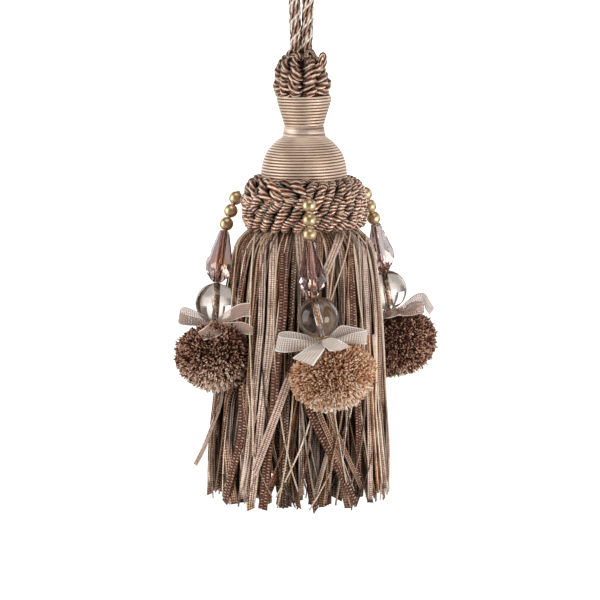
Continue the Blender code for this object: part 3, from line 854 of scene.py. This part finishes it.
def woven(name, dark, middle, light, edge_colour, cords=3, rib=0.66):
    """A narrow woven ribbon: lengthwise cords bound by cross ribs, and a twisted cord in each edge."""
    made, tree = add_shader(name, 0.4, 0.25)
    across, down = uv_of(tree)
    cord_round = abs(((across * (cords / 2) + cords / 2) * math.pi).calc("SINE"))
    relief = cord_round * 0.34 + (down * (RIBBON_LENGTH / rib)).wave() * 0.26
    fibre = object_noise(tree, 1500, 3) + object_noise(tree, 140, 1)
    body = (fibre * 0.5 + relief).ramp((0.56, dark), (0.82, middle), (1, light))
    edge_twist = (down * (RIBBON_LENGTH / 0.7) + across * 5).wave()
    edge = edge_twist.ramp((0.1, middle), (0.7, edge_colour))
    colour = wire(tree, "MixRGB", abs(across) > 0.84, body, edge)
    shade_with(tinted(colour, 0.1, 1.24), relief, 0.25, 0.9)
    return made


def laddered(name, ground, dot, other_dot, pitch):
    """A brown ribbon with two rows of bright stitches down it, one set half a step below the other."""
    made, tree = add_shader(name, 0.45, 0.15)
    across, down = uv_of(tree)
    row = abs((across * math.pi).calc("SINE")).calc("POWER", 0.5)
    step = (down * (RIBBON_LENGTH / pitch) + (across > 0) * 0.5).wave()
    stitch = row * step * (object_noise(tree, 1000) * 2 - 0.1)
    body = stitch.ramp((0.3, ground), (0.66, dot), (1, other_dot))
    edge = (down * (RIBBON_LENGTH / 0.55)).wave().ramp((0.2, ground), (0.8, dot))
    colour = wire(tree, "MixRGB", abs(across) > 0.86, body, edge)
    shade_with(tinted(colour, 0.15, 1.3), stitch, 0.3, 0.9)
    return made


ribbon_finishes = (
    woven("ribbon_silver", "684c40", "9c7a68", "ecd2c0", "f0d6c4", 3, 0.55),
    woven("ribbon_tan", "503022", "8a6047", "dab08e", "dcb290", 4),
    woven("ribbon_dark", "120704", "402216", "966648", "a47454", 3, 0.7),
    laddered("ribbon_rust", "4a2618", "925a3c", "e2bea0", 0.78),
    woven("ribbon_cream", "a87a5c", "e8c4a4", "ffecd4", "ffeed8", 1),
    woven("ribbon_umber", "1a0c07", "623e2c", "be9274", "cca284", 3, 0.6),
    laddered("ribbon_beaded", "543426", "be9678", "fff0dc", 0.8),
)
SILVER, TAN, DARK, RUST, CREAM, UMBER, BEADED = range(7)
OUTER_MIX = (SILVER, SILVER, SILVER, SILVER, TAN, TAN, TAN, UMBER, UMBER, DARK, RUST, BEADED)
SECOND_MIX = (SILVER, SILVER, TAN, TAN, DARK, DARK, UMBER, UMBER, RUST)
INNER_MIX = (TAN, DARK, DARK, UMBER, UMBER)
LAYERS = (  # ribbons, narrow cords, depth in, top height, widths, finishes, painted shade level (1 for none), painted light added at the tips
    (50, 60, 0.3, -83.6, 1.4, 2.7, OUTER_MIX, 1, 0), (44, 44, 2.2, -83.9, 2, 3, SECOND_MIX, 0.5, 0.6),
    (38, 16, 4.2, -84.3, 2.4, 3.4, INNER_MIX, 0.26, 1.6), (26, 0, 6.6, -84.8, 2.8, 3.8, INNER_MIX, 0.13, 3.2),
    (16, 0, 10, -85, 3, 4, INNER_MIX, 0.08, 4),
)
PROUD_STRANDS = (  # finish, tint, width, depth, tip, its course
    (CREAM, 0.8, 0.55, -0.7, -150, ((-85.2, -14.2), (-97, -15), (-112, -15.3), (-143, -14.2))),
    (CREAM, 0.7, 0.5, -0.5, -126, ((-91, 14.5), (-106, 15.9), (-112, 16.8), (-120, 17.4))),
    (CREAM, 0.6, 0.45, -0.4, -118, ((-86.7, 15.9), (-112, 16.8))),
    (CREAM, 0.7, 0.5, -0.4, -124, ((-89.6, 18.3), (-100, 19.8), (-112, 20.6))),
    (CREAM, 0.7, 0.5, -0.6, -106, ((-86.7, 9.4), (-93.2, 8.6), (-104.5, 7.1))),
    (CREAM, 0.7, 0.5, -0.8, -106, ((-86.7, 13.3), (-93.2, 11.5), (-105, 7.4))),
    (SILVER, 1, 2.5, -0.7, -99, ((-84, 10.9), (-86.7, 10.3), (-97.7, 5.6))),
    (RUST, 0.8, 2.7, -0.1, -165.5, (
        (-85.2, -5.6), (-112, -6.2), (-119.4, -8), (-135.7, -8.6), (-150, -10.6), (-165, -11.8),
    )),
    (RUST, 0.7, 2.1, 0, -158, ((-85.2, 13.2), (-98.6, 14.2), (-112, 14.4), (-140, 16))),
    (SILVER, 0.8, 2.2, 0, -164, ((-85.2, 17.7), (-112, 18.5), (-140, 19.5))),
    (SILVER, 0.9, 2.5, 0.1, -164, ((-85.2, -8.8), (-112, -9.6), (-135, -12), (-164, -15))),
    (SILVER, 0.75, 2.4, 0, -163, ((-85.2, -11.8), (-112, -12.4), (-150, -16), (-164, -18))),
    (SILVER, 1, 2.4, -0.9, -154.6, (
        (-85.2, -1.5), (-112, 0.5), (-119.4, -2.4), (-128.3, -4.7), (-154.8, -13.9),
    )),
    (RUST, 0.8, 2.6, -0.2, -165, ((-85.2, -17), (-112, -18.6), (-143, -17.4), (-164, -22.4))),
    (RUST, 0.6, 2.1, -0.5, -164.5, ((-85.2, 1), (-112, -1.5), (-135, 0.6), (-150, 8), (-165, 15.3))),
    (UMBER, 0.8, 1.7, -0.3, -162, ((-85.2, 3.6), (-112, 1), (-135, 3.4), (-153, 10.9), (-162, 13.4))),
    (UMBER, 0.6, 1.5, -0.2, -160, ((-85.2, 5), (-112, 4), (-135, 6), (-160, 16.8))),
    (TAN, 0.8, 0.6, -0.8, -160, ((-85.2, 13), (-125, 12), (-140, 10.6), (-150, 8), (-160, 7))),
    (CREAM, 0.5, 0.5, -0.8, -158, ((-85.2, 2), (-120, 6), (-140, 9), (-158, 12))),
    (CREAM, 0.7, 0.5, -0.5, -160, ((-85.2, -19), (-112, -21), (-135, -15), (-150, -15.6), (-160, -17.6))),
    (SILVER, 0.9, 0.9, -0.6, -162, ((-85.2, 20), (-112, 22), (-140, 21.5), (-162, 23.6))),
    (SILVER, 1.4, 1, -0.8, -163, ((-118, 20.3), (-137, 21.4), (-153, 22.9), (-162, 23.8))),
    (CREAM, 0.9, 0.7, -0.8, -160, ((-112, 21), (-137, 20.4), (-160, 22.4))),
    (TAN, 1.4, 0.9, -0.8, -162, ((-118, 18.9), (-140, 19.7), (-162, 21.2))),
)


def loose_course(degrees, rnd, slant):
    """A strand that hangs almost straight, wavers a little and drifts to one side near its tip."""
    sway, waver, lean = rnd.uniform(0.4, 2.4), rnd.uniform(0, TURN), rnd.gauss(0, slant)

    def course(height):
        t = hung_part(height, STRAND_START)
        return degrees + sway * math.sin(waver + 4.2 * t) * min(1, 3 * max(0, t)) + lean * max(0, t) ** 3

    return course


def traced_course(stations):
    """A strand that stands out: (height, distance to the right of the middle) down its length."""

    def course(height):
        aside = (along(stations, height) - lean_at(height)) / along(SKIRT_OUTLINE, height)
        return math.degrees(math.asin(max(-0.99, min(0.99, aside)))) - 90

    return course


rnd = random.Random(7)
for layer, (count, cords, depth, top, thin, broad, mix, dimmed, tip_light) in enumerate(LAYERS):
    outermost = layer == 0
    cord_mix = (CREAM, CREAM, TAN, SILVER, UMBER) if outermost else (CREAM, TAN, SILVER, UMBER, DARK)
    bm = new_piece()
    for n in range(count):
        degrees = (n + 0.5 * (layer % 2) + rnd.uniform(-0.3, 0.3)) * 360 / count - 90
        finish = rnd.choice(mix)
        # painted shade: each ribbon's own random tone is dimmed by its layer's level, so the inner layers
        # read dark
        ribbon(
            bm, loose_course(degrees, rnd, 17 if outermost else 11), depth + rnd.uniform(0, 0.9), top,
            STRAND_TIP + rnd.uniform(-2.6, 3), rnd.uniform(thin, broad), rnd.uniform(0.2, 0.9),
            rnd.gauss(0, 0.6), finish, rnd.uniform(0.2, 1.05) * dimmed, rnd, tip_light,
        )
    for n in range(cords):
        degrees = (n + rnd.uniform(-0.45, 0.45)) * 360 / cords - 90
        finish = rnd.choice(cord_mix)
        width = rnd.uniform(0.4, 0.62)
        ribbon(
            bm, loose_course(degrees, rnd, 19), depth - rnd.uniform(0, 0.5), top,
            STRAND_TIP + rnd.uniform(-2, 4), width, 0, 0, finish, rnd.uniform(0.2, 1) * dimmed, rnd,
            tip_light,
        )
    if outermost:
        for finish, tint, width, sunk, tip, stations in PROUD_STRANDS:
            twist = 0 if width < 1 else 0.15
            start = stations[0][0] + 2
            ribbon(bm, traced_course(stations), sunk, start, tip, width, twist, 0, finish, tint, rnd)
        stray = smooth_line(STRAY, 1)
        stray = [walk(stray, STRAY_LENGTH * k / RIBBON_SPANS) for k in range(RIBBON_SPANS + 1)]
        lay_tube(bm, ribbon_blank, stray, carried(stray, (0.8, -0.6, 0)), 0.8, SILVER, 1.15, squash=0.22)
    replaced = ("skirt",) if outermost else ()
    finish_piece(f"ribbons_{layer + 1}", bm, ribbon_finishes, "ribbon_fringe", *replaced)
finish_piece("skirt_header", spun(HEADER, 48), (painted_shade_backing,), "ribbon_fringe")


# Threads and beads ----------------------------------------
# Each drop is strung on tan thread: three satin brass balls, a faceted champagne teardrop and a clear glass
# ball with a brass cap under it. The beads are bored, and the thread shows inside the clear ones.

GOLD_RADIUS = 2.05
GLASS_RADIUS = 6
BORE_RADIUS = 0.8
BORE_WALL = 0.6
THREAD_RADIUS = 0.6
THREAD_SPANS = 60
CRYSTAL_LENGTH = 15.5
CRYSTAL_RINGS = (  # radius, part of the half length up, part of a facet turned
    (1.45, 1, 0), (4.1, -0.27, 0), (4.1, -0.46, 0.5), (3.3, -0.7, 0), (1.45, -1, 0.5),
)
FACETS = 8
CAP = (
    (0.8, -6.15), (1.3, -6.05), (1.7, -5.9), (2, -5.75),
    (2.1, -5.85), (1.8, -6.15), (1.3, -6.35), (0.8, -6.4),
)

brass, brass_tree = add_shader("satin_brass", 0.4, 1)
brushed = object_noise(brass_tree, 700, 4)
shade_with(brushed.ramp((0.3, "bca07a"), (0.7, "e0c6a0")), brushed, 0.03, 0.35)
thread_silk = yarn("bead_thread", "ce9c68", "f0cc9e", "fff0d2", 2, 60)


def glass(name, colour, other_colour, bending):
    made, tree = add_shader(name, 0, Transmission_Weight=1, IOR=bending, Specular_IOR_Level=0.9)
    shade_with(object_noise(tree, 160, 1).ramp((0.52, colour), (0.7, other_colour)))
    return made


clear_glass = glass("clear_glass", "e6dad2", "e0cec0", 1.5)
pink_crystal = glass("pink_crystal", "d4b8b8", "e0b29a", 1.55)


def ring_spun(profile, steps):
    """A bored piece: a closed profile of (radius, height) in millimetres turned about Z."""
    return spun([*profile, profile[0]], steps)


def bored_ball(radius, rows, steps):
    start = math.asin(BORE_RADIUS / radius)
    angles = [start + (math.pi - 2 * start) * k / rows for k in range(rows + 1)]
    return ring_spun([(radius * math.sin(a), radius * math.cos(a)) for a in angles], steps)


def cut_teardrop():
    """Rings of corners hulled into long facets above and short ones below, then bored."""
    bm = bmesh.new()
    for radius, height, offset in CRYSTAL_RINGS:
        for n in range(FACETS):
            bm.verts.new(polar(radius, 360 / FACETS * (n + offset), CRYSTAL_LENGTH / 2 * height) * MM)
    bmesh.ops.convex_hull(bm, input=bm.verts)
    bmesh.ops.dissolve_limit(bm, angle_limit=0.02, verts=bm.verts, edges=bm.edges)
    ends = [f for f in bm.faces if abs(f.normal.z) > 0.98]
    bmesh.ops.inset_individual(bm, faces=ends, thickness=BORE_WALL * MM)
    rims = [e for f in ends for e in f.edges]
    bmesh.ops.delete(bm, geom=ends, context="FACES_ONLY")
    bmesh.ops.bridge_loops(bm, edges=rims)
    bmesh.ops.recalc_face_normals(bm, faces=bm.faces)
    return bm


def add_bead(name, bm, finish, slot, drop, piece):
    bmesh.ops.transform(bm, matrix=hung(drop, piece), verts=bm.verts)
    finish_piece(f"{name}_ball_{drop}", bm, (finish,), slot, f"{name}_{drop}")


thread_blank = tube_blank(8, THREAD_SPANS)
for drop, string in strings.items():
    for piece in ("gold_1", "gold_2", "gold_3"):
        add_bead(piece, bored_ball(GOLD_RADIUS, 24, 36), brass, "gold_bead", drop, piece)
    add_bead("crystal", cut_teardrop(), pink_crystal, "pink_crystal", drop, "crystal")
    add_bead("glass", bored_ball(GLASS_RADIUS, 40, 64), clear_glass, "clear_glass", drop, "glass")
    add_bead("cap", ring_spun(CAP, 32), brass, "gold_bead", drop, "glass")
    stops = [string[0]]
    for piece in ("gold_1", "gold_2", "gold_3", "crystal", "glass"):
        stops += station(drop, piece)
    line = evenly([*stops, station(drop, "knot")[0]], THREAD_SPANS)
    bm = new_piece()
    lay_tube(bm, thread_blank, line, carried(line, (0, 1, 0)), THREAD_RADIUS)
    finish_piece(f"string_{drop}", bm, (thread_silk,), "bead_thread", f"thread_{drop}")


# Bows -----------------------------------------------------
# Sheer ribbon 4 mm wide tied once round each string under the glass ball: two loops and two cut tails. The
# edges are closer woven, and show as fine bright lines.

BOW_STRIPS = {  # both edges of each strip, (right, back, up) from the knot: loops first, then tails
    "front": (
        ((-0.9, 0, 1.3, -0.7, -1.3, 0.6), (-5.3, -0.5, 3, -4.7, -0.5, 1.1), (-9.3, -0.3, 3.8, -9, -0.3, 0.8),
         (-11.9, -0.5, 3.8, -12.4, -0.5, 0.2), (-13.1, -1.6, 3.4, -13.9, -1.6, -0.9),
         (-12.7, -2.8, 2.7, -13.6, -2.8, -1.6), (-9.8, -3.4, 2.4, -10.4, -3.4, -1.8),
         (-6.1, -2.6, 1.7, -6.1, -2.6, -1.2), (-2.4, -1.4, 0.8, -2.1, -4.5, -0.1),
         (-0.7, -2.8, 0.5, -0.5, -4.8, 0.2)),
        ((0.2, 0, 1.3, 0.2, -2.1, 0.7), (2.5, 0.6, 3.5, 3.4, 0.6, 0.9), (4.8, 0.8, 5.4, 6, 0.8, 1.8),
         (8.5, 0.5, 5, 9.1, 0.5, 0.9), (11.4, -0.3, 4.5, 11.6, -0.3, 0.5), (12.1, -1.2, 4.4, 12, -1.2, 0.3),
         (10.8, -2, 4.2, 10.2, -2, 0.4), (7.4, -1.8, 3.4, 6.8, -1.8, 0.5), (3.4, -1, 1.7, 3, -3.9, 0.7),
         (0.5, -0.5, 0.8, 0.5, -4.4, 0.5)),
        ((-1.8, -1.2, 0.6, 0.2, -5.1, 0.3), (-4.7, -8.5, 0.4, -0.1, -8.9, -0.3),
         (-7, -10.6, -0.8, -1.6, -11, -2.2), (-9.1, -11.8, -2.2, -3.2, -12.2, -4.4)),
        ((-0.7, -1.2, 1.5, -0.4, -4, 0.4), (1.6, -4.8, 2.6, 0.6, -8.1, 0.1),
         (3.9, -7.3, 2.5, 1.8, -9.6, -0.5), (7.6, -6.1, 0.2, 4.7, -9, -0.3)),
    ),
    "left": (
        ((-1.1, -0.2, 3, -1.1, -0.2, 1.5), (-3.7, -0.8, 4.7, -3.4, -0.8, 1.4),
         (-6.6, -1.3, 6.2, -6.6, -1.3, 1.5), (-8.9, -1.5, 7, -9.8, -1.5, 1.7),
         (-10.1, -0.9, 6, -10.7, -0.9, 2.5), (-9, -0.2, 4.7, -9.3, -0.2, 1.5),
         (-5.5, 0.5, 3.5, -5.5, 0.5, 1.1), (-2, 0.3, 2.6, -2, 0.3, 1.4)),
        ((-0.7, -1.4, 2.7, 1.3, -1.4, 1.5), (-2.2, -10.2, 2.5, 2.6, -11.4, 0.7),
         (-3.6, -11.4, 1.6, 0.3, -13.6, -0.4), (-4.7, -10.9, 0.9, -2.9, -14, -1.1)),
        ((0.4, -0.6, 3, 0.7, -0.6, 1.5), (3.7, -3.2, 6, 5.2, -6.4, 3.5), (7, -8, 8.6, 8.5, -10.2, 5.2),
         (10.4, -11.3, 9.5, 10.8, -12.2, 5.5)),
        ((0.4, -1.2, 2.1, 0.4, -1.2, 1.3), (4.3, -5, 2.9, 4.3, -6.1, 0.5), (7.9, -9.8, 3.7, 7.9, -10.1, 0.2),
         (10.5, -12.2, 3.1, 10.5, -12.5, 0.3), (11.3, -12.8, 2.6, 11.3, -13, 0.6),
         (8.2, -10.2, 2.9, 8.2, -10.3, 0.8), (4, -4.6, 2.1, 4, -4.7, 0.9)),
    ),
    "right": (
        ((1, -0.5, 1, 1.2, -2.9, 0.1), (2.8, -0.3, 2.3, 3.3, -2, 0.2), (4.6, 0, 3.7, 5.5, -0.1, 0.3),
         (6.8, 0.3, 5.5, 7.6, 0.3, 1.5), (9, 0.4, 6.4, 9.9, 0.4, 2.8), (10.6, -0.4, 6, 10.3, -0.4, 2.5),
         (11.8, -1, 4.1, 10.4, -1, 1.6), (13.1, -1.4, 1.9, 11.7, -1.4, -0.1)),
        ((1.8, -1, 0.9, 3, -2.4, 0.2), (0.2, -2.3, 1.1, 0.4, -5.7, -0.3), (-2.2, -1.8, 0.8, -2.2, -5.5, -0.7),
         (-4.5, -1.4, 0.5, -4.5, -2.8, -1.2)),
        ((1.9, -0.7, 0.7, 1.8, -3.2, 0), (5.1, -1.6, 2, 5.4, -2.5, -0.3), (7.8, -2, 3.3, 8.4, -2, 0.2),
         (10, -1.4, 3.5, 10, -1.4, 0.5), (7.9, -0.5, 4, 8.2, -0.5, 1), (4.6, 0, 2.7, 4.9, -0.6, 0.4)),
    ),
}
BOW_SPANS = 36
BELLY, CRUMPLE = 0.35, 0.16
BOW_WALL = 0.12


def sheer(name, colour, edge_colour, cover):
    """Gauze: threads both ways with a little see-through between, and a dense bright edge."""
    made, tree = add_shader(name, 0.6)
    across, down = uv_of(tree)
    edge = abs(across * 2 - 1) > 0.85
    weave = (down / 0.6).wave() * 0.65 + (across * 7).wave() * 0.35
    body = weave.ramp((0.1, colour, 0.7), (0.5, colour))
    shade_with(wire(tree, "MixRGB", edge, body, srgb(edge_colour)), weave, 0.06, 0.6)
    (weave * 0.6 + cover).calc("MAXIMUM", edge).into("Alpha")
    return made


cream_gauze = sheer("cream_gauze", "f4e2d4", "fffcf6", 0.44)
taupe_gauze = sheer("taupe_gauze", "d2b0a0", "fae4d4", 0.2)


def on_curve(points, part):
    """The point at a part of the way through the given points, on a smooth curve."""
    step = min(part * (len(points) - 1), len(points) - 1.0001)
    k = int(step)
    start, end = points[k], points[k + 1]
    before = points[k - 1] if k else start * 2 - end
    after = points[k + 2] if k + 2 < len(points) else end * 2 - start
    return curve_point(before, start, end, after, step % 1)


def bow_strip(bm, rows, knot_place):
    """A ribbon between its two edges, a little crumpled."""
    edge, other_edge = [Vector(row[:3]) for row in rows], [Vector(row[3:]) for row in rows]
    length = length_of(edge)
    first, first_face = len(bm.verts), len(bm.faces)
    bmesh.ops.create_grid(bm, x_segments=8, y_segments=BOW_SPANS, size=0.5)
    bm.verts.ensure_lookup_table()
    bm.faces.ensure_lookup_table()
    uv = bm.loops.layers.uv.active
    for face in bm.faces[first_face:]:
        for loop in face.loops:
            loop[uv].uv = (loop.vert.co.x + 0.5, (loop.vert.co.y + 0.5) * length)
    for vert in bm.verts[first:]:
        across, part = vert.co.x + 0.5, vert.co.y + 0.5
        point = on_curve(edge, part).lerp(on_curve(other_edge, part), across)
        forward = BELLY * math.sin(math.pi * across) * math.sin(math.pi * part)
        forward += CRUMPLE * math.sin(13 * part + 7 * across)
        vert.co = (knot_place + point - Vector((0, forward, 0))) * MM


for drop, finish, slot in (
    ("front", cream_gauze, "cream_ribbon"), ("right", taupe_gauze, "taupe_ribbon"),
    ("left", taupe_gauze, "taupe_ribbon"),
):
    place = hung(drop, "knot")
    bm = bmesh.new()
    bm.loops.layers.uv.new("UVMap")
    for rows in BOW_STRIPS[drop]:
        bow_strip(bm, rows, place.translation / MM)
    set_smooth(bm)
    strips = finish_piece(f"bow_ribbon_{drop}", bm, (finish,), slot, f"bow_{drop}")
    wall = strips.modifiers.new("cloth", "SOLIDIFY")
    wall.thickness = BOW_WALL * MM
    wall.offset = 0
    knot = bmesh.new()
    bmesh.ops.create_uvsphere(knot, u_segments=20, v_segments=14, radius=1.2 * MM, calc_uvs=True)
    bmesh.ops.scale(knot, vec=(1.1, 1, 0.8), verts=knot.verts)
    bmesh.ops.transform(knot, matrix=place, verts=knot.verts)
    set_smooth(knot)
    finish_piece(f"bow_knot_{drop}", knot, (finish,), slot)


# Pompoms --------------------------------------------------
# Yarn bound at its middle and cut to a ball. The cut ends show as a pile of short tufts, pale at their tips
# and rust or dark brown between, and the lower ends hang longer. The left one is pressed up to its bow.

POMPOM_SIZE = Vector((12.2, 12.2, 9.5))
TUFTS = 9000
GOLDEN_ANGLE = math.pi * (3 - math.sqrt(5))
tuft_blank = tube_blank(3, 1)


def pile(name, root, middle, tip, pale):
    made, tree = add_shader(name, 0.85, Specular_IOR_Level=0.15)
    shade = tint_of(tree) * 0.76 + uv_of(tree)[1] * 0.8 - 0.52
    colour = shade.ramp((0.16, root), (0.5, middle), (0.84, tip), (1, pale))
    shade_with(colour, object_noise(tree, 3000), 0.1, 0.5)
    return made


tan_pile = pile("tan_pile", "804828", "c8926c", "f6d6b8", "fff6e8")
brown_pile = pile("brown_pile", "240f0a", "6e4232", "e0b296", "ffecd6")
tan_heart = yarn("tan_heart", "542a14", "96623e", "c49268", 30, 30, 0.9, 0)
brown_heart = yarn("brown_heart", "140906", "382016", "684836", 30, 30, 0.9, 0)


def shaken(rnd, spread):
    return Vector([rnd.gauss(0, spread) for _ in range(3)])


for drop, finish, heart, slot, lifted in (
    ("front", tan_pile, tan_heart, "tan_yarn", (0, 0, 0)),
    ("right", brown_pile, brown_heart, "brown_yarn", (0, 0, 0)),
    ("left", brown_pile, brown_heart, "brown_yarn", (0.9, 0, 1.3)),
):
    rnd = random.Random(f"pile {drop}")
    place = Matrix.Translation(Vector(lifted) * MM) @ hung(drop, "pompom")
    bm = new_piece()
    for n in range(TUFTS):
        z = 1 - 2 * (n + 0.5) / TUFTS
        out = polar(math.sqrt(1 - z * z), math.degrees(GOLDEN_ANGLE * n), z)
        out = (out + shaken(rnd, 0.03)).normalized()
        skin = out * POMPOM_SIZE
        low = max(0, -z - 0.35)  # the lower ends hang ragged and longer, and painted light makes them paler
        reach = rnd.uniform(0.93, 1.02) - 0.12 * max(0, z - 0.6) / 0.4 + low * rnd.uniform(0, 0.18)
        line = [skin * 0.8, skin * reach + shaken(rnd, 0.4)]
        tint = rnd.random() * 0.85 + low * rnd.uniform(0, 1.3)
        lay_tube(bm, tuft_blank, line, carried(line, (0.3, 0.2, 1)), rnd.uniform(0.17, 0.26), 0, tint)
    core = bmesh.new()
    bmesh.ops.create_icosphere(core, subdivisions=3, radius=0.9 * MM, calc_uvs=True)
    core.verts.layers.float.new("tint")
    bmesh.ops.scale(core, vec=POMPOM_SIZE, verts=core.verts)
    for part in (bm, core):
        bmesh.ops.transform(part, matrix=place, verts=part.verts)
    finish_piece(f"pompom_pile_{drop}", bm, (finish,), slot, f"pompom_{drop}")
    finish_piece(f"pompom_core_{drop}", core, (heart,), slot)
